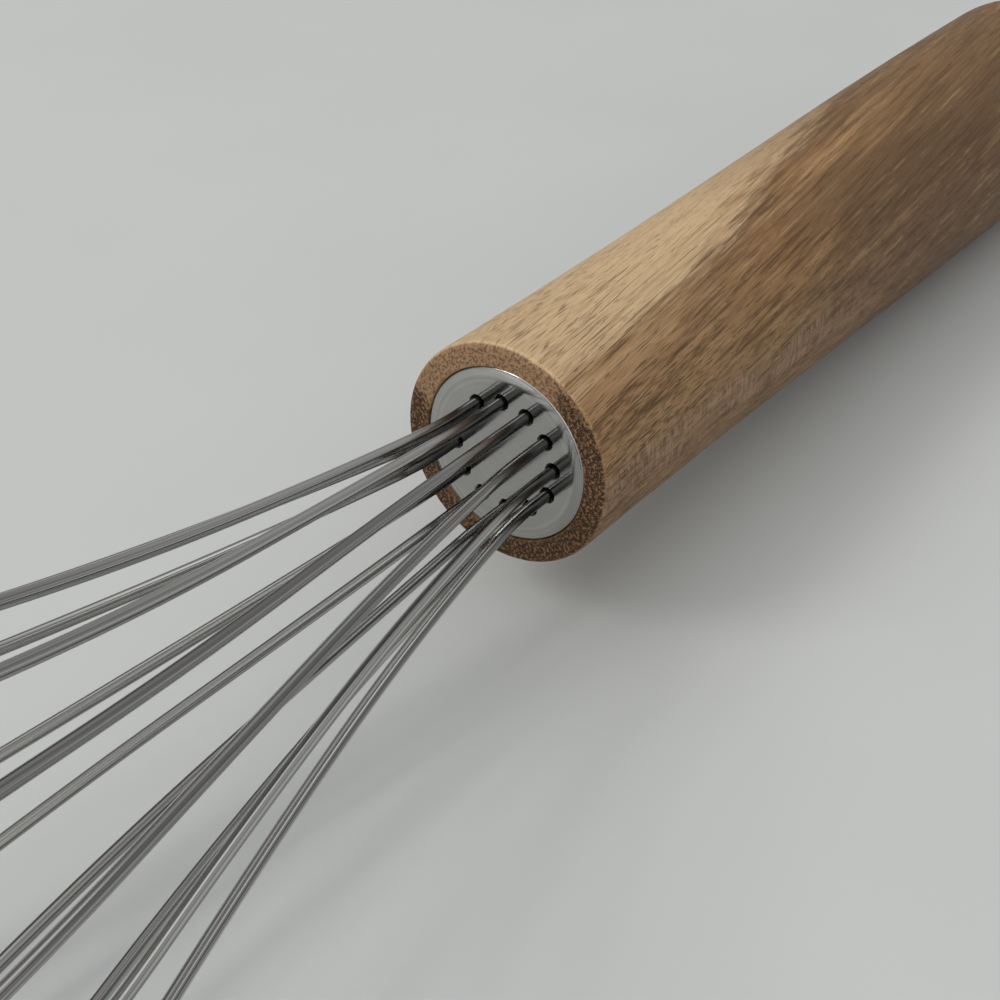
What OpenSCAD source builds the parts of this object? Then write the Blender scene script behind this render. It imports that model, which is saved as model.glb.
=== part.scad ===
// Balloon whisk with a turned wooden handle, lying at rest on its balloon and its butt.
// The whisk is drawn on its own axis first: +Z towards the tip of the balloon, +X the side
// that faces up at rest, and the face of the handle at Z = 0. Then it is laid down, with the
// balloon towards -X and the origin under the middle of its bounding box.

/* [Handle] */
// Length of the handle, from its face to the end of the butt
handle_length = 160; // [120:1:200]
// Diameter of the parallel front stretch of the handle
front_d = 28; // [27:0.1:32]
// Length of that stretch, from the face
parallel_length = 10; // [2:1:60]
// Diameter of the swell near the butt
swell_d = 31.5; // [28:0.1:38]
// Length of the full swell, in front of the rounded butt
swell_length = 11; // [1:1:30]
// Radius that eases the edge round the face
face_round = 0.7; // [0.3:0.05:1.5]
// Length of the rounded butt
butt_length = 14; // [6:0.5:24]
// Fullness of the round, from 2 for an ellipse to 4 for a squarer end
butt_fullness = 2.6; // [2:0.1:4]

/* [End disc] */
// Outer diameter of the steel end disc
disc_d = 22; // [18:0.1:23]
// Thickness of its sheet
disc_sheet = 0.8; // [0.5:0.05:1.5]
// Depth of its skirt, which stands in the bore of the handle
disc_skirt = 5; // [2:0.1:8]
// Radius of the drawn shoulder between the face of the disc and its skirt
disc_shoulder = 0.35; // [0.1:0.05:0.6]
// Width of the eased band round the flat middle of the face, with the shoulder
band_width = 1.4; // [0.8:0.05:2]
// Fall of that band towards the shoulder
band_fall = 0.2; // [0.05:0.05:0.4]
// Diameter of the circle that the wire holes lie on
hole_circle_d = 13.7; // [11:0.1:15]
// Diameter of a wire hole
hole_d = 1.7; // [1.65:0.05:2.4]
// Depth of the broken edge round a wire hole
hole_edge = 0.2; // [0.05:0.01:0.3]

/* [Wires] */
// Wire diameter
wire_d = 1.4; // [1:0.05:1.6]
// Length of wire that is bedded behind the disc
wire_grip = 26; // [15:1:40]
// Length of wire that stands straight out of the disc
straight_length = 2; // [1:0.5:10]
// Radius of the first bend, at the centre of the wire
exit_bend_r = 60; // [10:1:80]
// Angle off the axis at the end of the first bend
exit_angle = 8.5; // [4:0.5:12]
// Gap between one loop and the next where they cross at the tip
tip_gap = 0.2; // [0.1:0.05:1]

/* [Balloon] */
// Length of the balloon, from the face of the handle to the top of the outermost loop
balloon_length = 151; // [130:1:200]
// Diameter of the balloon over its wires, at its widest
balloon_d = 57; // [50:0.5:66]
// Distance from the face to the widest place
widest_z = 117; // [100:1:130]
// Distance from the face to the place where a flank turns from hollow to bulging
flank_z = 76.5; // [65:0.5:85]
// Diameter of the balloon there, between the centres of the wires
flank_d = 42.8; // [38:0.1:46]
// Angle off the axis there
flank_angle = 15.5; // [12:0.5:18]
// Angle by which the whole balloon leans off the axis of the handle
lean_angle = 1; // [0:0.1:2]

/* [Hidden] */
$fn = 96;

// Overrun of every cut
over = 0.5;
// Clearance between the disc and the bore of the handle, all round
disc_gap = 0.05;
// Clearance of the resin in what it fills, and of a wire in the resin
cast_gap = 0.05;
// Resin behind the ends of the wires
resin_cover = 4;
// Air left behind the resin in the bore
bore_air = 0.2;
// Broken edge at the mouth of the bore
mouth_edge = 0.1;

front_r = front_d / 2;
swell_r = swell_d / 2;
wire_r = wire_d / 2;
bore_r = disc_d / 2 + disc_gap;
skirt_r = disc_d / 2 - disc_sheet;
resin_back = wire_grip + resin_cover;
bore_depth = resin_back + bore_air;

// Loops, and the turn of the first loop's hole off the upper side, in degrees
loops = 6;
hole_phase = 2;
hole_pitch = 180 / loops;
// Hand-set swing of each loop's two legs, from the hole to the place in the balloon
swings = [[-18, -18], [-23, -16], [-8, -8], [-12, 1], [-6, -7], [-14, -10]];
// Side that the balloon leans to, as an angle off the upper side
lean_side = -111;
lean = tan(lean_angle) * [cos(lean_side), sin(lean_side)];

// Steps along the stretches of a leg, steps round a wire, and steps of a curved outline
bend_steps = 2;
flank_steps = 3;
crown_steps = 7;
wire_sides = 10;
curve_steps = 16;

function unit(v) = v / norm(v);

// Point at a radius and an angle round the axis, at a height along it
function polar(r, angle, z) = [r * cos(angle), r * sin(angle), z];

// The shift and turn that the lean of the balloon gives to a place or a direction
function leant(v) = [v[0] + v[2] * lean[0], v[1] + v[2] * lean[1], v[2]];

// A smooth wire is a chain of stations, each a place and a direction. Two arcs that are
// tangent to each other join one station to the next.
function arc_reach(chord, along, both) =
    let (a = 2 * (1 - along), b = chord * both, c = chord * chord)
    a < 1e-9 ? c / (2 * b) : (sqrt(b * b + a * c) - b) / a;

function arc_joint(from, to) =
    let (chord = to[0] - from[0],
         reach = arc_reach(chord, from[1] * to[1], from[1] + to[1]))
    (from[0] + to[0] + reach * (from[1] - to[1])) / 2;

// Direction in which the arc from a place and a direction arrives at an end
function arrival(place, direction, end) =
    let (chord = end - place) 2 * (chord * direction) / (chord * chord) * chord - direction;

// Stations at equal steps along one arc, without its start
function arc(place, direction, end, steps) =
    let (chord = end - place,
         ahead = chord * direction,
         aside = chord - ahead * direction,
         bow = norm(aside))
    [for (i = [1 : steps])
        let (share = i / steps)
        bow < 1e-6 ? [place + share * chord, direction] :
        let (r = chord * chord / (2 * bow), turn = 2 * atan2(bow, ahead) * share)
        [place + r * (sin(turn) * direction + (1 - cos(turn)) * aside / bow),
         cos(turn) * direction + sin(turn) * aside / bow]];

function arc_pair(from, to, steps) =
    let (joint = arc_joint(from, to))
    concat(arc(from[0], from[1], joint, steps),
           arc(joint, arrival(from[0], from[1], joint), to[0], steps));

// One leg of a loop, from its bedded end to the crossing at the tip
function leg(hole_angle, swing, tip_side, drop) =
    let (angle = hole_angle + swing,
         hole = polar(hole_circle_d / 2, hole_angle, 0),
         flank = leant(polar(flank_d / 2, angle, flank_z)),
         heading = atan2(flank[1] - hole[1], flank[0] - hole[0]),
         bend = exit_bend_r * (1 - cos(exit_angle)),
         root = [hole - [0, 0, wire_grip], [0, 0, 1]],
         out = [hole + [0, 0, straight_length], [0, 0, 1]],
         bent = [out[0] + polar(bend, heading, exit_bend_r * sin(exit_angle)),
                 polar(sin(exit_angle), heading, cos(exit_angle))],
         flank_station = [flank, unit(leant(polar(tan(flank_angle), angle, 1)))],
         widest = [leant(polar(balloon_d / 2 - wire_r, angle, widest_z)), unit(leant([0, 0, 1]))],
         tip = [leant([0, 0, balloon_length - wire_r - drop]), polar(-1, tip_side, 0)])
    concat([root, out],
           arc_pair(out, bent, bend_steps),
           arc_pair(bent, flank_station, flank_steps),
           arc_pair(flank_station, widest, flank_steps),
           arc_pair(widest, tip, crown_steps));

function turned_back(stations) =
    [for (i = [len(stations) - 2 : -1 : 0]) [stations[i][0], -stations[i][1]]];

// A whole loop. Each further loop crosses under the one before it.
function loop_stations(i) =
    let (near = hole_phase + i * hole_pitch,
         far = near + 180,
         tip_side = near + (swings[i][0] + swings[i][1]) / 2,
         drop = i * (wire_d + tip_gap))
    concat(leg(near, swings[i][0], tip_side, drop),
           turned_back(leg(far, swings[i][1], tip_side + 180, drop)));

// Ring of points round a station, set square to the wire and lined up with the loop's plane
function ring(station, flat) =
    let (across = unit(flat - (flat * station[1]) * station[1]),
         up = cross(station[1], across))
    [for (k = [0 : wire_sides - 1])
        let (turn = (k + 0.5) * 360 / wire_sides)
        station[0] + wire_r * (cos(turn) * across + sin(turn) * up)];

// Points of a rounded corner from a level face to the outside of a round body
function rounded_corner(radius, edge, depth) =
    [for (i = [0 : curve_steps / 2])
        let (turn = 90 * i / (curve_steps / 2))
        [radius - edge * (1 - sin(turn)), -depth - edge * (1 - cos(turn))]];

// Radius of the handle at a distance behind its face, up to the round of the butt
swell_end = handle_length - butt_length;
swell_start = swell_end - swell_length;
function handle_r(z) =
    let (share = min(1, max(0, (z - parallel_length) / (swell_start - parallel_length))))
    front_r + (swell_r - front_r) * (1 - cos(180 * share)) / 2;

// Outline of the handle from the face to the axis at the butt, as [radius, height]
handle_outline = concat(
    rounded_corner(front_r, face_round, 0),
    [for (i = [0 : curve_steps])
        let (z = parallel_length + (swell_start - parallel_length) * i / curve_steps)
        [handle_r(z), -z]],
    [for (i = [0 : curve_steps])
        let (turn = 90 * i / curve_steps)
        [swell_r * pow(cos(turn), 2 / butt_fullness),
         -swell_end - butt_length * pow(sin(turn), 2 / butt_fullness)]]);

// Outline of the disc's outside, from its axis over the flat middle, the eased band and the
// shoulder to the end of the skirt, as [radius, height]
flat_r = disc_d / 2 - band_width;
disc_outline = concat(
    [[0, -disc_skirt], [0, 0]],
    [for (i = [0 : curve_steps / 2 - 1])
        let (share = i / (curve_steps / 2))
        [flat_r + (band_width - disc_shoulder) * share, -band_fall * (1 - cos(90 * share))]],
    rounded_corner(disc_d / 2, disc_shoulder, band_fall),
    [[disc_d / 2, -disc_skirt]]);

// How the whisk lies: a first tilt from the widest place to the end of the swell, and then
// the small correction that brings the lowest wire and the swell down to one level
wire_places = [for (i = [0 : loops - 1]) for (station = loop_stations(i)) station[0]];
wire_low = min([for (p = wire_places) p[0]]);
rest_span = widest_z + swell_end;
first_tilt = atan((wire_r - wire_low - swell_r) / rest_span);

function height(x, z, slope) = x * cos(slope) + z * sin(slope);
function wire_floor(slope) = min([for (p = wire_places) height(p[0], p[2], slope)]) - wire_r;
function handle_floor(slope) = min([for (p = handle_outline) height(-p[0], p[1], slope)]);
tilt = first_tilt + asin((handle_floor(first_tilt) - wire_floor(first_tilt)) / rest_span);

function laid(p) = [p[0] * sin(tilt) - p[2] * cos(tilt), p[1], height(p[0], p[2], tilt)];

laid_wires = [for (p = wire_places) laid(p)];
laid_handle = [for (p = handle_outline) for (side = [-1, 1]) laid([side * p[0], 0, p[1]])];
x_low = min([for (p = laid_wires) p[0]]) - wire_r;
x_high = max([for (p = laid_handle) p[0]]);
y_low = min([for (p = laid_wires) p[1]]) - wire_r;
y_high = max([for (p = laid_wires) p[1]]) + wire_r;
z_low = min(wire_floor(tilt), handle_floor(tilt));
rest_shift = [-(x_low + x_high) / 2, -(y_low + y_high) / 2, -z_low];

module lay() {
    translate(rest_shift) rotate([0, tilt - 90, 0]) children();
}

// Turned wooden handle: slimmest in front, easing into a long swell, with a rounded butt and
// a blind bore in its face
module handle() {
    color("peru") lay() difference() {
        rotate_extrude() polygon(concat([[0, 0]], handle_outline));
        translate([0, 0, -bore_depth]) cylinder(r = bore_r, h = bore_depth + over);
        translate([0, 0, -mouth_edge])
            cylinder(r1 = bore_r, r2 = bore_r + mouth_edge + over, h = mouth_edge + over);
    }
}

// Drawn steel cap, flush with the face of the handle, with a hole for each leg
module end_disc() {
    color("silver") lay() difference() {
        rotate_extrude() difference() {
            polygon(disc_outline);
            translate([0, -disc_skirt - over]) square([skirt_r, disc_skirt + over - disc_sheet]);
        }
        for (k = [0 : 2 * loops - 1]) {
            hole = polar(hole_circle_d / 2, hole_phase + k * hole_pitch, -disc_sheet);
            translate(hole - [0, 0, over]) cylinder(d = hole_d, h = disc_sheet + 2 * over, $fn = 32);
            translate(hole + [0, 0, disc_sheet - hole_edge])
                cylinder(d1 = hole_d, d2 = hole_d + 2 * (hole_edge + over), h = hole_edge + over, $fn = 32);
        }
    }
}

// Cast resin that fills the cap and the bore behind it and beds the ends of the wires
module resin_plug() {
    color("darkkhaki") lay() difference() {
        union() {
            translate([0, 0, -disc_skirt])
                cylinder(r = skirt_r - cast_gap, h = disc_skirt - disc_sheet - cast_gap);
            translate([0, 0, -resin_back])
                cylinder(r = bore_r - cast_gap, h = resin_back - disc_skirt - cast_gap);
            translate([0, 0, -disc_skirt - cast_gap - over])
                cylinder(r = skirt_r - cast_gap, h = cast_gap + 2 * over);
        }
        for (k = [0 : 2 * loops - 1])
            translate(polar(hole_circle_d / 2, hole_phase + k * hole_pitch, -wire_grip - cast_gap))
                cylinder(r = wire_r + cast_gap, h = wire_grip + over, $fn = 32);
    }
}

// One stiff wire, bent to a loop, with both ends bedded in the resin
module wire_loop(i) {
    stations = loop_stations(i);
    tip_side = hole_phase + i * hole_pitch + (swings[i][0] + swings[i][1]) / 2;
    flat = polar(1, tip_side + 90, 0);
    rings = len(stations);
    points = [for (station = stations) each ring(station, flat)];
    walls = [for (s = [0 : rings - 2]) for (k = [0 : wire_sides - 1])
        let (next = (k + 1) % wire_sides, a = s * wire_sides, b = a + wire_sides)
        each [[a + k, a + next, b + next], [a + k, b + next, b + k]]];
    root_end = [for (k = [wire_sides - 1 : -1 : 0]) k];
    far_end = [for (k = [0 : wire_sides - 1]) (rings - 1) * wire_sides + k];
    color("gainsboro") lay() polyhedron(points, concat([root_end, far_end], walls));
}

handle();
end_disc();
resin_plug();
wire_loop(0);  // wire_loop_1
wire_loop(1);  // wire_loop_2
wire_loop(2);  // wire_loop_3
wire_loop(3);  // wire_loop_4
wire_loop(4);  // wire_loop_5
wire_loop(5);  // wire_loop_6
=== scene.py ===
# %% [markdown]
# # A balloon whisk with a turned wooden handle
#
# The whisk lies on a table, on its lowest wires and on the swell of its handle. The camera
# looks along the wires at the steel disc in the end of the handle, so the picture is a
# closeup: the wood needs its pores, the disc its turning marks, and the wires have to be
# perfectly round and smooth.
#
# The imported model already holds the handle, the disc, the resin and the wires in their real
# sizes. Loading it first means that all later work happens in its frame.

# %% Load the imported whisk
import math

import bpy
from mathutils import Matrix, Vector


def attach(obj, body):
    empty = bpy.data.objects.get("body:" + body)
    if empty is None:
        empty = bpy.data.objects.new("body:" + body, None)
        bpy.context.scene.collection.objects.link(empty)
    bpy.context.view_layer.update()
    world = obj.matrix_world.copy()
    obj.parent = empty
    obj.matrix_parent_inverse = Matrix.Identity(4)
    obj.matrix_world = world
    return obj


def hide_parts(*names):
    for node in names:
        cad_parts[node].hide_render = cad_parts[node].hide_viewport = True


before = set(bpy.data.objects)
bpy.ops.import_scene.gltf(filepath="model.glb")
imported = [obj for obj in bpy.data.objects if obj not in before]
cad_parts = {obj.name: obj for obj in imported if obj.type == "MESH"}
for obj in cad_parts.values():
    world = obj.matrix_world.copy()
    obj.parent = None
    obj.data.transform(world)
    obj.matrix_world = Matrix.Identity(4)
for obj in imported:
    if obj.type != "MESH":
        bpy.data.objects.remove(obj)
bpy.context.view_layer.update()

print("nodes:", ", ".join(sorted(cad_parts)))

# %% [markdown]
# Blender keeps everything selected that was just imported, and its operators act on all
# that is selected. One small helper clears the selection before each new piece.
#
# The whisk is tipped by a few degrees, because the balloon is wider than the handle. It is
# much easier to think along the handle's own axis, so pieces and patterns are worked out
# on that axis, standing on end, and a single matrix lays them down. `UPRIGHT` is the angle
# that it tips them by.

# %% The frame of the whisk's own axis
MM = 0.001
TILT = math.radians(2.70777)
UPRIGHT = math.pi / 2 - TILT
REST_SHIFT = Vector((-4.50879, 2.09872, 22.6828)) * MM

lay_down = Matrix.Translation(REST_SHIFT) @ Matrix.Rotation(-UPRIGHT, 4, "Y")
TO_TIP = lay_down.to_3x3() @ Vector((0, 0, 1))


def select_only(piece=None):
    bpy.ops.object.select_all(action="DESELECT")
    if piece is not None:
        piece.select_set(True)
        bpy.context.view_layer.objects.active = piece


print("the tip of the balloon points to", tuple(round(v, 3) for v in TO_TIP))

# %% [markdown]
# ## The route of a wire
#
# Each of the six wires starts in the resin, runs straight through its hole, bends outwards,
# swings out to the widest part of the balloon, turns over the tip and comes back the same
# way. A wire bender thinks of this as straight pieces and arcs that flow into each other.
#
# So a leg is a short list of stations, each a place and a direction, and two arcs that
# touch without a kink join one station to the next. These are the sizes that the packed
# wires have, so the finer wires made here lie exactly on them.
#
# Wires that were set by hand never stand quite evenly. `SWINGS` holds how far the two legs
# of each loop swing round the axis on their way out, in degrees, and the whole balloon
# leans to one side by one degree.

# %% Sizes of the wires and the balloon
WIRE_R = 0.7 * MM
HOLE_CIRCLE_R = 6.85 * MM
GRIP, STRAIGHT = 26 * MM, 2 * MM
BEND_R, BEND_ANGLE = 60 * MM, math.radians(8.5)
FLANK_Z, FLANK_R, FLANK_ANGLE = 76.5 * MM, 21.4 * MM, math.radians(15.5)
WIDEST_Z, WIDEST_R = 117 * MM, 27.8 * MM
BALLOON_LENGTH, TIP_STEP = 151 * MM, 1.6 * MM
HOLE_PHASE, HOLE_PITCH = 2, 30
SWINGS = [(-18, -18), (-23, -16), (-8, -8), (-12, 1), (-6, -7), (-14, -10)]
LEAN, LEAN_SIDE = math.tan(math.radians(1)), math.radians(-111)


def polar(radius, degrees, z):
    turn = math.radians(degrees)
    return Vector((radius * math.cos(turn), radius * math.sin(turn), z))


def leant(v):
    return v + v.z * LEAN * Vector((math.cos(LEAN_SIDE), math.sin(LEAN_SIDE), 0))


def leg_stations(hole_degrees, swing, tip_degrees, drop):
    side = hole_degrees + swing
    hole = polar(HOLE_CIRCLE_R, hole_degrees, 0)
    flank = leant(polar(FLANK_R, side, FLANK_Z))
    heading = math.degrees(math.atan2(flank.y - hole.y, flank.x - hole.x))
    up = Vector((0, 0, 1))
    out = hole + STRAIGHT * up
    aside, onward = BEND_R * (1 - math.cos(BEND_ANGLE)), BEND_R * math.sin(BEND_ANGLE)
    return [
        (hole - GRIP * up, up),
        (out, up),
        (
            out + polar(aside, heading, onward),
            polar(math.sin(BEND_ANGLE), heading, math.cos(BEND_ANGLE)),
        ),
        (flank, leant(polar(math.tan(FLANK_ANGLE), side, 1)).normalized()),
        (leant(polar(WIDEST_R, side, WIDEST_Z)), leant(up).normalized()),
        (leant((BALLOON_LENGTH - WIRE_R - drop) * up), polar(-1, tip_degrees, 0)),
    ]


def loop_stations(number):
    near = HOLE_PHASE + number * HOLE_PITCH
    there, back = SWINGS[number]
    tip_degrees = near + (there + back) / 2
    drop = number * TIP_STEP
    first = leg_stations(near, there, tip_degrees, drop)
    second = leg_stations(near + 180, back, tip_degrees + 180, drop)
    return first + [(place, -direction) for place, direction in reversed(second[:-1])]


print("stations on one loop:", len(loop_stations(0)))

# %% [markdown]
# Between two stations with different directions there is a whole family of arc pairs. The
# one used here leaves both stations by the same distance, which gives the calmest curve.
# The joint between the two arcs becomes one more station. An arc makes the same angle with
# its chord at both ends, and that gives the direction at the joint.

# %% Join the stations with pairs of arcs
TINY = 1e-9


def arc_joint(start, end):
    (a, out), (b, into) = start, end
    chord = b - a
    both = out + into
    spread = 2 * (1 - out.dot(into))
    ahead = chord.dot(both)
    if spread < TINY:
        reach = chord.dot(chord) / (2 * ahead)
    else:
        reach = (math.sqrt(ahead**2 + spread * chord.dot(chord)) - ahead) / spread
    place = (a + b + reach * (out - into)) / 2
    first = place - a
    return place, (2 * first.dot(out) / first.dot(first) * first - out).normalized()


def with_joints(stations):
    chain = [stations[0]]
    for start, end in zip(stations, stations[1:]):
        straight = (end[0] - start[0]).normalized().dot(start[1]) > 1 - TINY
        chain += [end] if straight else [arc_joint(start, end), end]
    return chain


print("arc ends on one loop:", len(with_joints(loop_stations(0))))

# %% [markdown]
# ## Six smooth wires
#
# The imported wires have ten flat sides, which is right for a solid model and too coarse for
# a picture taken from a hand's width away. In Blender a wire is best drawn as a curve with
# a round bevel: the bevel is the thickness of the wire, and the curve is its route.
#
# A Bezier segment follows an arc almost exactly when its handles are 4/3 tan(angle / 4) of
# the radius long. The curve is then turned into a mesh, which keeps a UV map that runs
# along the wire and round it. The finish uses that map for its drawing lines.

# %% Draw one wire loop
STEPS_ALONG, STEPS_ROUND = 18, 6
NO_TURN = 1e-4


def bezier_reach(start, end):
    chord = end[0] - start[0]
    turn = start[1].angle(end[1], 0)
    if turn < NO_TURN:
        return chord.length / 3
    return 4 / 3 * math.tan(turn / 4) * chord.length / (2 * math.sin(turn / 2))


def draw_loop(number):
    chain = with_joints(loop_stations(number))
    select_only()
    bpy.ops.curve.primitive_bezier_curve_add()
    wire = bpy.context.object
    wire.name = f"bent_wire_{number + 1}"
    route = wire.data
    route.splines[0].bezier_points.add(len(chain) - 2)
    for i, (place, direction) in enumerate(chain):
        point = route.splines[0].bezier_points[i]
        point.handle_left_type = point.handle_right_type = "FREE"
        back = bezier_reach(chain[i - 1], chain[i]) if i else GRIP / 3
        on = bezier_reach(chain[i], chain[i + 1]) if i < len(chain) - 1 else GRIP / 3
        point.co = place
        point.handle_left, point.handle_right = place - back * direction, place + on * direction
    route.resolution_u = route.render_resolution_u = STEPS_ALONG
    route.bevel_depth, route.bevel_resolution = WIRE_R, STEPS_ROUND
    route.use_fill_caps = True
    bpy.ops.object.convert(target="MESH")
    wire = bpy.context.object
    wire.matrix_world = lay_down
    bpy.ops.object.transform_apply(location=True, rotation=True, scale=True)
    return wire


wires = [draw_loop(number) for number in range(6)]
print("faces on a wire:", len(wires[0].data.polygons))

# %% [markdown]
# A mesh that comes from a curve can have its faces turned inwards, and its end caps share
# no points with the tube. Merging the doubles and recalculating the normals mends both.
# Shading is smooth along the wire, with an angle limit that keeps the cut ends crisp. Each
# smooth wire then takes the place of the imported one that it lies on.

# %% Close, shade and place the wires
SAME_PLACE = 1e-7
CREASE = math.radians(40)

for number, wire in enumerate(wires, 1):
    select_only(wire)
    bpy.ops.object.mode_set(mode="EDIT")
    bpy.ops.mesh.select_all(action="SELECT")
    bpy.ops.mesh.remove_doubles(threshold=SAME_PLACE)
    bpy.ops.mesh.normals_make_consistent(inside=False)
    bpy.ops.object.mode_set(mode="OBJECT")
    bpy.ops.object.shade_smooth_by_angle(angle=CREASE)
    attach(wire, "root")
    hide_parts(f"wire_loop_{number}")
print("wires in place:", ", ".join(wire.name for wire in wires))

# %% [markdown]
# ## A small language for finishes
#
# A finish here is procedural: numbers worked out from the place on the object. Wiring such
# sums by hand makes long, unreadable lists of nodes. The class below wraps the socket of a
# node, so that `a * 2 + b` adds the Math nodes for it. One method adds every other kind of
# node, with its settings first and its inputs after them.

# %% Shader sums as Python expressions
class Shade:
    """What comes out of one socket of a finish."""

    def __init__(self, finish, socket):
        self.finish = finish
        self.socket = socket

    def maths(self, operation, *values):
        return self.finish.add("Math", {"operation": operation}, dict(enumerate(values)))

    def __add__(self, other):
        return self.maths("ADD", self, other)

    def __sub__(self, other):
        return self.maths("SUBTRACT", self, other)

    def __rsub__(self, other):
        return self.maths("SUBTRACT", other, self)

    def __mul__(self, other):
        return self.maths("MULTIPLY", self, other)

    def __truediv__(self, other):
        return self.maths("DIVIDE", self, other)

    __radd__, __rmul__ = __add__, __mul__

    def maximum(self, other):
        return self.maths("MAXIMUM", self, other)

    def sqrt(self):
        return self.maths("SQRT", self)

    def absolute(self):
        return self.maths("ABSOLUTE", self)

    def cosine(self):
        return self.maths("COSINE", self)

    def sine(self):
        return self.maths("SINE", self)

    def between(self, start, end):
        """0 at start, 1 at end, smooth between them and level outside them.

        Start may be the larger of the two.
        """
        settings = {"interpolation_type": "SMOOTHSTEP"}
        inputs = {"Value": self, "From Min": start, "From Max": end}
        return self.finish.add("MapRange", settings, inputs)


class Finish:
    """A material that is being built on one Principled surface."""

    def __init__(self, name):
        self.material = bpy.data.materials.new(name)
        self.material.use_nodes = True
        self.nodes = self.material.node_tree.nodes
        self.links = self.material.node_tree.links
        self.surface = self.nodes["Principled BSDF"]

    def add(self, kind, settings=None, inputs=None, output=0):
        node = self.nodes.new("ShaderNode" + kind)
        for name, value in (settings or {}).items():
            setattr(node, name, value)
        for name, value in (inputs or {}).items():
            self.feed(node.inputs[name], value)
        return Shade(self, node.outputs[output])

    def feed(self, socket, value):
        if isinstance(value, Shade):
            self.links.new(value.socket, socket)
        else:
            socket.default_value = value

    def set(self, **values):
        for name, value in values.items():
            self.feed(self.surface.inputs[name.replace("_", " ").title()], value)

    def mix(self, share, first, second):
        """From the first colour to the second as share goes from 0 to 1."""
        inputs = {0: share, 6: first, 7: second}
        return self.add("Mix", {"data_type": "RGBA"}, inputs, output=2)

    def dot(self, first, second):
        """How far two directions agree."""
        settings = {"operation": "DOT_PRODUCT"}
        return self.add("VectorMath", settings, {0: first, 1: second}, output="Value")

    def noise(self, place, size=1, detail=2, rough=0.5):
        inputs = {"Vector": place, "Scale": 1 / size, "Detail": detail, "Roughness": rough}
        return self.add("TexNoise", None, inputs)

    def bump(self, height, depth, strength=1.0):
        """A relief whose full height is depth, in metres."""
        inputs = {"Height": height, "Distance": depth, "Strength": strength}
        return self.add("Bump", None, inputs)


print("finish helpers are ready")

# %% [markdown]
# Most patterns on this whisk belong to its axis: the grain runs along it and the turning
# marks run round it. A Mapping node turns the object's coordinates so that x points to the
# upper side, z along the axis to the tip, and one unit is a millimetre.

# %% Coordinates on the whisk's axis, in millimetres
def axis_place(finish):
    turn = Matrix.Rotation(UPRIGHT, 3, "Y")
    inputs = {
        "Vector": finish.add("TexCoord", output="Object"),
        "Location": -(turn @ REST_SHIFT) / MM,
        "Rotation": (0, UPRIGHT, 0),
        "Scale": (1 / MM, 1 / MM, 1 / MM),
    }
    return finish.add("Mapping", {"vector_type": "POINT"}, inputs)


def parts_of(finish, place):
    split = finish.add("SeparateXYZ", None, {0: place})
    return [Shade(finish, split.socket.node.outputs[i]) for i in range(3)]


def joined(finish, x, y, z):
    return finish.add("CombineXYZ", None, {0: x, 1: y, 2: z})


print("the face of the handle lies at", tuple(round(v / MM, 2) for v in REST_SHIFT), "mm")

# %% [markdown]
# ## The wood
#
# The handle is turned from a board that holds the border between pale sapwood and brown
# heartwood. The border is a growth ring of the tree, so it is a gently curved sheet inside
# the wood. The round handle cuts through it, and that is why the pale part ends in a long
# slanting line on the outside.
#
# A solid texture shows this for free. `ring` is the distance from that sheet in
# millimetres, and the broad colours follow it. The fibres run straighter than the border
# does, as they do in most boards, so the fine patterns have a place of their own, `grain`.
#
# Nothing in wood ends in a clean line. Three noises, from broad to fine, fray the border,
# and `frayed` is the distance behind the face with a ragged end.

# %% Growth rings, and the border between sapwood and heartwood
FACES_UP, FACES_SIDE = 0.5, 0.866
BEND_AT, BEND_SPREAD = 35, 15
SLOPE, BEND_SLOPE, SHEET_PLACE = 0.16, 0.08, 5.12
FIBRE_SLOPE = 0.1

wood = Finish("oiled_wood")
wood_place = axis_place(wood)
up, side, ahead = parts_of(wood, wood_place)
behind = ahead * -1

past_bend = behind - BEND_AT
bow = behind * SLOPE + (past_bend * past_bend + BEND_SPREAD**2).sqrt() * BEND_SLOPE
through = up * FACES_UP + side * FACES_SIDE
across = side * FACES_UP - up * FACES_SIDE
ring = through - bow + SHEET_PLACE
grain = joined(wood, through - behind * FIBRE_SLOPE, across, ahead)


def stretched(through_ring, along_ring, along_grain, **settings):
    """Noise that is long in the direction of the grain and flat along a growth ring."""
    scale = (1 / through_ring, 1 / along_ring, 1 / along_grain)
    place = wood.add("VectorMath", {"operation": "MULTIPLY"}, {0: grain, 1: scale})
    return wood.noise(place, **settings)


wobble = stretched(6, 9, 30, detail=2) - 0.5
flames = stretched(2.2, 2.8, 24, detail=2) - 0.5
fine_wobble = stretched(0.7, 1.1, 11, detail=3, rough=0.65) - 0.5
frayed = behind + wobble * 20
depth = (ring + wobble * 3 + flames * 7 + fine_wobble * 10) * -1
near_border = depth.between(2.4, -2.6)
far_border = (side * 0.85 - up * 0.53 + wobble * 3 + fine_wobble * 3).between(8.0, 6.6)
sapwood = near_border * far_border
print("wood:", len(wood.nodes), "nodes so far")

# %% [markdown]
# A colour is the share of the light that comes back, in red, green and blue. The shares
# are linear, so they are smaller numbers than the ones a screen shows. The last number of
# each is its opacity.
#
# The heartwood is golden in front and orange further back. It has a dark edge along the
# border and is duller deep inside. Further back the handle carries painted shade: on the
# sapwood away from the camera, on top of the heartwood, and most on the camera's side.

# %% The palette of the wood
PALE_WOOD = (0.565, 0.402, 0.232, 1)
PALE_STREAK = (0.445, 0.300, 0.160, 1)
# Painted shade on the sapwood further back.
PALE_IN_FAR_SHADE = (0.36, 0.240, 0.127, 1)

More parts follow.
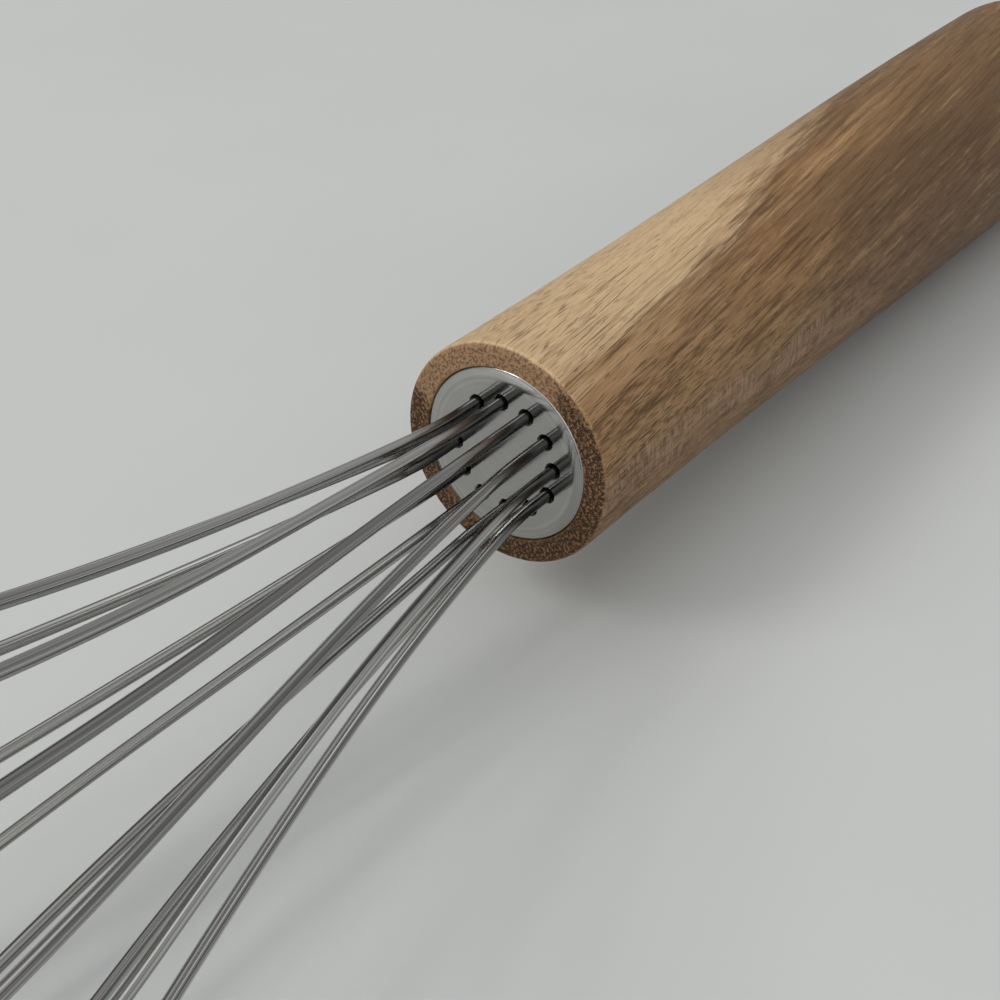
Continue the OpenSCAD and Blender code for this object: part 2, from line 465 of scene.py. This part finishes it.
GOLDEN_FRONT = (0.335, 0.200, 0.094, 1)
ORANGE_MIDDLE = (0.275, 0.150, 0.060, 1)
DARK_EDGE = (0.120, 0.060, 0.022, 1)
DULL_INSIDE = (0.225, 0.127, 0.055, 1)
UNDERSIDE = (0.250, 0.150, 0.074, 1)
# Painted shade on the far top and further back on the camera's side.
SHADED_FAR_TOP = (0.140, 0.076, 0.030, 1)
SHADED_NEAR_SIDE = (0.120, 0.066, 0.033, 1)
LIGHT_CLOUD = (0.41, 0.255, 0.125, 1)

DARK_BAND, LIGHT_BAND = (0.105, 0.054, 0.022, 1), (0.44, 0.270, 0.125, 1)
DARK_STREAK, LIGHT_STREAK = (0.080, 0.039, 0.015, 1), (0.46, 0.290, 0.145, 1)
DARK_FIBRE = (0.11, 0.058, 0.024, 1)
PORE = (0.075, 0.038, 0.016, 1)
RIPPLED_WOOD, RIPPLE_CREST = (0.105, 0.058, 0.030, 1), (0.36, 0.225, 0.140, 1)

PALE_END, PALE_END_PORE = (0.280, 0.168, 0.090, 1), (0.105, 0.060, 0.030, 1)
BROWN_END, BROWN_END_PORE = (0.225, 0.116, 0.051, 1), (0.026, 0.014, 0.006, 1)
print("sapwood gives back", PALE_WOOD[0], "of red light, heartwood", ORANGE_MIDDLE[0])

# %% [markdown]
# The heartwood is painted in layers, as a decorator grains a door. Each layer has a place
# where it lies, a share of how much it covers, and a colour. The first ones are broad: a
# dark edge and a duller inside follow the growth rings, the underside has a colour of its
# own, and two are painted shade, on the far top and further back on the camera's side.
# Then come light clouds in the front half, bands, narrow streaks, and last the fibres,
# which lie on both kinds of wood.

# %% Colours of the two kinds of wood
bands = stretched(1.9, 9, 80, detail=3, rough=0.6)
streaks = stretched(0.5, 0.9, 22, detail=4, rough=0.65)
fibres = stretched(0.15, 0.2, 6, detail=3, rough=0.6)
clouds = stretched(2.6, 3.4, 9, detail=2)

# Painted shade: the sapwood darkens further back, on the side away from the camera.
far_sapwood_shade = frayed.between(38, 80) * side.between(-2, 5)
pale = wood.mix(streaks.between(0.25, 0.6), PALE_STREAK, PALE_WOOD)
pale = wood.mix(far_sapwood_shade * 0.85, pale, PALE_IN_FAR_SHADE)

edge = depth.between(-1, 0.8) * depth.between(5.2, 1.4) * frayed.between(14, 42)
# Painted shade: the heartwood darkens further back on the camera's side.
near_side_shade = (side * -1 + wobble * 4).between(3, 10) * (behind + wobble * 30).between(38, 74)
layers = (
    (edge, 0.7, DARK_EDGE),
    (depth.between(9, 16), 1, DULL_INSIDE),
    ((up * -1 + wobble * 5).between(-5, 2), 1, UNDERSIDE),
    # Painted shade on the far top, and on the next line on the camera's side.
    (through.between(-2, 6) * frayed.between(55, 100), 0.5, SHADED_FAR_TOP),
    (near_side_shade, 0.78, SHADED_NEAR_SIDE),
    (clouds.between(0.44, 0.76) * frayed.between(82, 50), 0.38, LIGHT_CLOUD),
    (bands.between(0.50, 0.70), 0.5, DARK_BAND),
    (bands.between(0.46, 0.30), 0.4, LIGHT_BAND),
    (streaks.between(0.48, 0.66), 0.75, DARK_STREAK),
    (streaks.between(0.45, 0.28), 0.5, LIGHT_STREAK),
)
brown = wood.mix(frayed.between(48, 20), ORANGE_MIDDLE, GOLDEN_FRONT)
for place, share, colour in layers:
    brown = wood.mix(place * share, brown, colour)

lengthwise = wood.mix(sapwood, brown, pale)
fibre_share = fibres.between(0.44, 0.72) * (0.62 - sapwood * 0.27)
lengthwise = wood.mix(fibre_share, lengthwise, DARK_FIBRE)
print("layers on the heartwood:", len(layers))

# %% [markdown]
# The pores of this wood are fine tubes along the grain. Where the surface runs along them
# they show as short dark dashes. A noise that is narrow both ways across the grain and long
# in its direction gives them, because only its peaks are kept. Long and short ones are
# mixed. They are crowded near the front of the handle, and a patch on the near side is
# peppered with short ones.

# %% Pores
crowd = (stretched(0.8, 1.3, 26, detail=2) - 0.5) * 0.16
crowd = crowd - frayed.between(6, 34) * 0.045 - behind.between(40, 90) * 0.03
peppered = (up - 4.5).absolute().between(4.5, 2.5) * side.between(0, -4)
peppered = peppered * frayed.between(36, 22)
long_pores = (stretched(0.19, 0.22, 15, detail=1) + crowd).between(0.585, 0.68)
short_pores = stretched(0.17, 0.22, 2.8, detail=1) + crowd + peppered * 0.07
all_pores = long_pores.maximum(short_pores.between(0.61, 0.70) * 0.9)
print("wood:", len(wood.nodes), "nodes so far")

# %% [markdown]
# End grain drinks more oil, so it is darker and browner, and the pores show there as dots.
# They leave the sapwood tan and make the heartwood almost black. The normal tells where the
# end grain is: it shows where the surface faces along the axis.
#
# On the lower side in front, the fibres wave in and out of the surface. That leaves rows of
# short ripples across the grain, which turners know as chatter.

# %% End grain and rippled fibres
normal = wood.add("TexCoord", output="Normal")
facing = wood.dot(normal, TO_TIP).absolute()
end_grain = (facing + fine_wobble * 0.3).between(0.5, 0.86)

speckle = wood.noise(wood_place, size=0.42, detail=2, rough=0.85)
end_pale = wood.mix(speckle.between(0.38, 0.58), PALE_END_PORE, PALE_END)
end_brown = wood.mix(speckle.between(0.46, 0.66), BROWN_END_PORE, BROWN_END)
end_colour = wood.mix(sapwood, end_brown, end_pale)

rows = stretched(0.9, 1.5, 40, detail=1).between(0.36, 0.56)
ripple_place = joined(wood, ring / 3.2, across / 3.2, ahead / 0.5)
ripple = wood.noise(ripple_place, detail=2, rough=0.6)
patch = (up + 0.7 + wobble * 3).absolute().between(3.6, 1.6) * side.between(0, -5)
patch = patch * frayed.between(78, 40)
ripples = rows * patch * ripple.between(0.36, 0.64)
print("wood:", len(wood.nodes), "nodes so far")

# %% [markdown]
# Now the parts come together: ripples and pores over the long side, and the end grain where
# the surface turns to the front. The pores are pits, so they lower the relief and dull the
# surface, and the fibres stand slightly proud. Oiled wood has no film of lacquer on it, so
# its shine is weaker than that of most smooth things.

# %% Put the wood together
side_colour = wood.mix(rows * patch * 0.35, lengthwise, RIPPLED_WOOD)
side_colour = wood.mix(ripples * 0.8, side_colour, RIPPLE_CREST)
side_colour = wood.mix(all_pores * (0.7 - sapwood * 0.15), side_colour, PORE)
wood_relief = 1 - all_pores + fibres * 0.35 + ripples * 0.3 - end_grain * speckle * 0.5
wood.set(
    base_color=wood.mix(end_grain, side_colour, end_colour),
    roughness=0.50 + all_pores * 0.2 + fibres * 0.08 + end_grain * 0.18,
    normal=wood.bump(wood_relief, 0.05 * MM, 0.5),
)
wood.surface.inputs["Specular IOR Level"].default_value = 0.28
print("wood:", len(wood.nodes), "nodes")

# %% [markdown]
# ## The steel of the disc
#
# The disc is pressed from sheet and then turned, so it has very fine rings round its
# middle. The rings are too fine to see one by one. They show as faint circles and in the
# way reflections spread. A noise that depends only on the distance from the axis makes
# them, and two softer noises keep the finish from looking perfect. The eased band at the
# edge has met more cloths than the middle, and is brighter.

# %% Turned steel
DULL_STEEL, BRIGHT_STEEL = (0.27, 0.265, 0.255, 1), (0.42, 0.415, 0.40, 1)
RUBBED_STEEL = (0.62, 0.615, 0.60, 1)

steel = Finish("turned_steel")
steel_place = axis_place(steel)
disc_up, disc_side, _ = parts_of(steel, steel_place)
reach = (disc_up * disc_up + disc_side * disc_side).sqrt()
circle_place = joined(steel, reach, 0.0, 0.0)
circles = steel.noise(circle_place, size=0.09, detail=3, rough=0.65)
broad_circles = steel.noise(circle_place, size=0.5, detail=2)
smears = steel.noise(steel_place, size=3.2, detail=3, rough=0.6)
handling = steel.noise(steel_place, size=0.35, detail=2, rough=0.7)
rim = (reach + smears * 0.5).between(9.3, 10.3)

tone = steel.mix(broad_circles * 0.5 + smears * 0.5, DULL_STEEL, BRIGHT_STEEL)
steel_relief = circles * 0.5 + broad_circles * 0.5 * rim + handling * 0.2
steel.set(
    base_color=steel.mix(broad_circles.between(0.45, 0.62) * rim * 0.6, tone, RUBBED_STEEL),
    metallic=1.0,
    roughness=0.06 + circles * 0.03 + smears * 0.04 + handling * 0.02,
    normal=steel.bump(steel_relief, 0.003 * MM, 0.4),
)
print("turned steel:", len(steel.nodes), "nodes")

# %% [markdown]
# ## Drawn wire
#
# Wire gets its finish from the die that it is pulled through. The die leaves hair-fine
# lines along the wire. The wire's own UV map says how far round and how far along a point
# is, so a noise that is squeezed round the wire and stretched along it gives those lines
# on every bend.
#
# Close to the disc no cloth reaches between the wires, so the steel is rougher there. Its
# colour is darkened there as painted shade, most over the last few millimetres.

# %% Bright drawn steel
DARK_LINE, BRIGHT_LINE = (0.23, 0.226, 0.216, 1), (0.53, 0.525, 0.508, 1)
# Painted shade: these two neck colours darken the wires near the disc.
NECK_IN_LIGHT_SHADE, NECK_IN_DEEP_SHADE = (0.175, 0.190, 0.197, 1), (0.050, 0.050, 0.049, 1)
ROUNDS, LENGTHS = 1.8, 5

drawn = Finish("drawn_wire")
along, around, _ = parts_of(drawn, drawn.add("TexCoord", output="UV"))
turn = around * (2 * math.pi)
lines = drawn.noise(
    joined(drawn, turn.cosine() * ROUNDS, turn.sine() * ROUNDS, along * LENGTHS),
    detail=1, rough=0.6,
)
dents = drawn.noise(drawn.add("TexCoord", output="Object"), size=6 * MM, detail=2)
from_disc = parts_of(drawn, axis_place(drawn))[2] + dents * 6

drawn_tone = drawn.mix(lines.between(0.36, 0.64), DARK_LINE, BRIGHT_LINE)
# Painted shade near the disc, in two steps.
drawn_tone = drawn.mix(from_disc.between(17, 10) * 0.7, drawn_tone, NECK_IN_LIGHT_SHADE)
drawn_tone = drawn.mix(from_disc.between(12.5, 6) * 0.82, drawn_tone, NECK_IN_DEEP_SHADE)
drawn.set(
    base_color=drawn_tone,
    metallic=1.0,
    roughness=0.06 + lines * 0.05 + dents * 0.05 + from_disc.between(17, 8) * 0.1,
    normal=drawn.bump(lines, 0.02 * MM, 0.4),
)
print("drawn wire:", len(drawn.nodes), "nodes")

# %% [markdown]
# ## The resin
#
# Behind the disc the ends of the wires are cast in epoxy. It hardly shows: only the thin
# rings of dark round each wire look in on it. It is a smoky amber with small bubbles.

# %% Cast resin
DARK_AMBER, AMBER = (0.030, 0.019, 0.010, 1), (0.070, 0.045, 0.022, 1)

resin = Finish("smoky_resin")
resin_place = axis_place(resin)
cloud = resin.noise(resin_place, size=2.2, detail=3)
cells = resin.add("TexVoronoi", None, {"Vector": resin_place, "Scale": 1.6})
bubbles = cells.between(0.34, 0.2)
resin.set(
    base_color=resin.mix(cloud, DARK_AMBER, AMBER),
    roughness=0.32 + cloud * 0.15,
    normal=resin.bump(1 - bubbles, 0.05 * MM, 0.5),
)
print("resin:", len(resin.nodes), "nodes")

# %% [markdown]
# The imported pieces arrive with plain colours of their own. Those are cleared, and each
# piece gets one finish over its whole surface, because each is made of one material.

# %% Give every piece its finish
def finish_piece(piece, finish):
    piece.data.materials.clear()
    piece.data.materials.append(finish.material)


finish_piece(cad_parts["handle"], wood)
finish_piece(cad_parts["end_disc"], steel)
finish_piece(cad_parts["resin_plug"], resin)
for wire in wires:
    finish_piece(wire, drawn)
print("finished:", 3 + len(wires), "pieces")

# %% [markdown]
# ## The table
#
# The whisk lies on a plain pale sheet. Its colour is what makes the background, and the
# steel reflects it, so it is a little uneven, as paper is.

# %% A plain pale floor
DARKER_PAPER, PALER_PAPER = (0.495, 0.509, 0.502, 1), (0.53, 0.544, 0.537, 1)

select_only()
bpy.ops.mesh.primitive_plane_add(size=6)
table = bpy.context.object
table.name = "table"
sheet = Finish("pale_sheet")
paper = sheet.noise(sheet.add("TexCoord", output="Object"), size=0.05, detail=3)
sheet.set(base_color=sheet.mix(paper, DARKER_PAPER, PALER_PAPER), roughness=0.6)
finish_piece(table, sheet)
print("table:", table.dimensions.x, "m wide")

# %% [markdown]
# ## Light
#
# One soft lamp stands to the upper left, as a window would. It throws the shadow of the
# handle and the thin bright lines on the wires.

# %% A soft lamp
LAMP_PLACE, LAMP_WIDTH, LAMP_WATTS = Vector((-0.88, 0.72, 1.12)), 0.6, 9.3
LAMP_AIM, WARM_WHITE = Vector((0, 0, 0.02)), (1.0, 0.985, 0.96)

bpy.ops.object.light_add(type="AREA", location=LAMP_PLACE)
lamp = bpy.context.object
lamp.name = "window"
lamp.data.shape = "RECTANGLE"
lamp.data.size, lamp.data.size_y = LAMP_WIDTH, LAMP_WIDTH
lamp.data.energy = LAMP_WATTS
lamp.data.color = WARM_WHITE
lamp.rotation_euler = (LAMP_AIM - LAMP_PLACE).to_track_quat("-Z", "Y").to_euler()
print("lamp at", round(lamp.location.length, 2), "m")

# %% [markdown]
# The sky gives the rest. Round bright steel shows its surroundings as stripes along each
# wire, so the sky can't be even. It is pale where it meets the table, dark just above it,
# less so beyond the butt, paler again overhead, and it has a pale belt high up. The dark
# part draws the dark edges of the wires. The front of the whisk faces a large pale glow
# that lights its end grain, and a weaker one from the camera's side fills the shadows.
#
# The camera itself sees none of this, only an even pale backdrop behind the table.

# %% A soft sky
class Sky(Finish):
    """A world that is built with the same sums as a finish."""

    def __init__(self, name):
        self.world = bpy.data.worlds.new(name)
        self.world.use_nodes = True
        self.nodes = self.world.node_tree.nodes
        self.links = self.world.node_tree.links
        self.surface = self.nodes["Background"]


BACKDROP = 0.6
FRONT, CAMERA_SIDE = Vector((-0.8, 0, 0.6)), Vector((-0.6, -0.75, 0.28))

sky = Sky("soft_sky")
toward_sky = sky.add("TexCoord", output="Generated")
x, y, height = parts_of(sky, toward_sky)

light = 0.445 - height.between(0, 0.12) * 0.33
light = light + height.between(0.2, 0.42) * 0.15
light = light + height.between(0.74, 0.86) * 0.19
light = light + x.between(0.5, 0.8) * (1 - height.between(0.5, 0.7)) * 0.17

belt = height.between(0.62, 0.74) - height.between(0.80, 0.90)
belt_tone = 0.12 + x.between(-0.4, 0.4) * (0.62 - y.between(0, 0.7) * 0.32)
light = light + belt * belt_tone
light = light + sky.dot(toward_sky, FRONT).between(0.35, 0.95) * 0.85
light = light + sky.dot(toward_sky, CAMERA_SIDE).between(0.6, 0.95) * 0.55

seen = sky.add("LightPath", output="Is Camera Ray")
sky.set(color=light * (1 - seen) + seen * BACKDROP)
bpy.context.scene.world = sky.world
print("sky:", len(sky.nodes), "nodes")

# %% [markdown]
# ## Camera
#
# The camera stands a hand's width from the disc and looks down at it over the wires. Its
# place and turn were worked out from the ellipse of the disc, the ring of holes and the
# two edges of the handle.

# %% The camera
CAMERA_PLACE, CAMERA_TURN = (-138.07, -100.53, 131.66), (55.616, 2.471, -53.932)

camera_data = bpy.data.cameras.new("closeup")
camera = bpy.data.objects.new("closeup", camera_data)
bpy.context.scene.collection.objects.link(camera)
camera_data.lens, camera_data.sensor_width = 63, 36
camera_data.clip_start, camera_data.clip_end = 0.005, 20
camera.location = Vector(CAMERA_PLACE) * MM
camera.rotation_euler = [math.radians(angle) for angle in CAMERA_TURN]
bpy.context.scene.camera = camera
bpy.context.scene.view_settings.view_transform = "Standard"
print("camera to disc:", round((camera.location - REST_SHIFT).length / MM, 1), "mm")
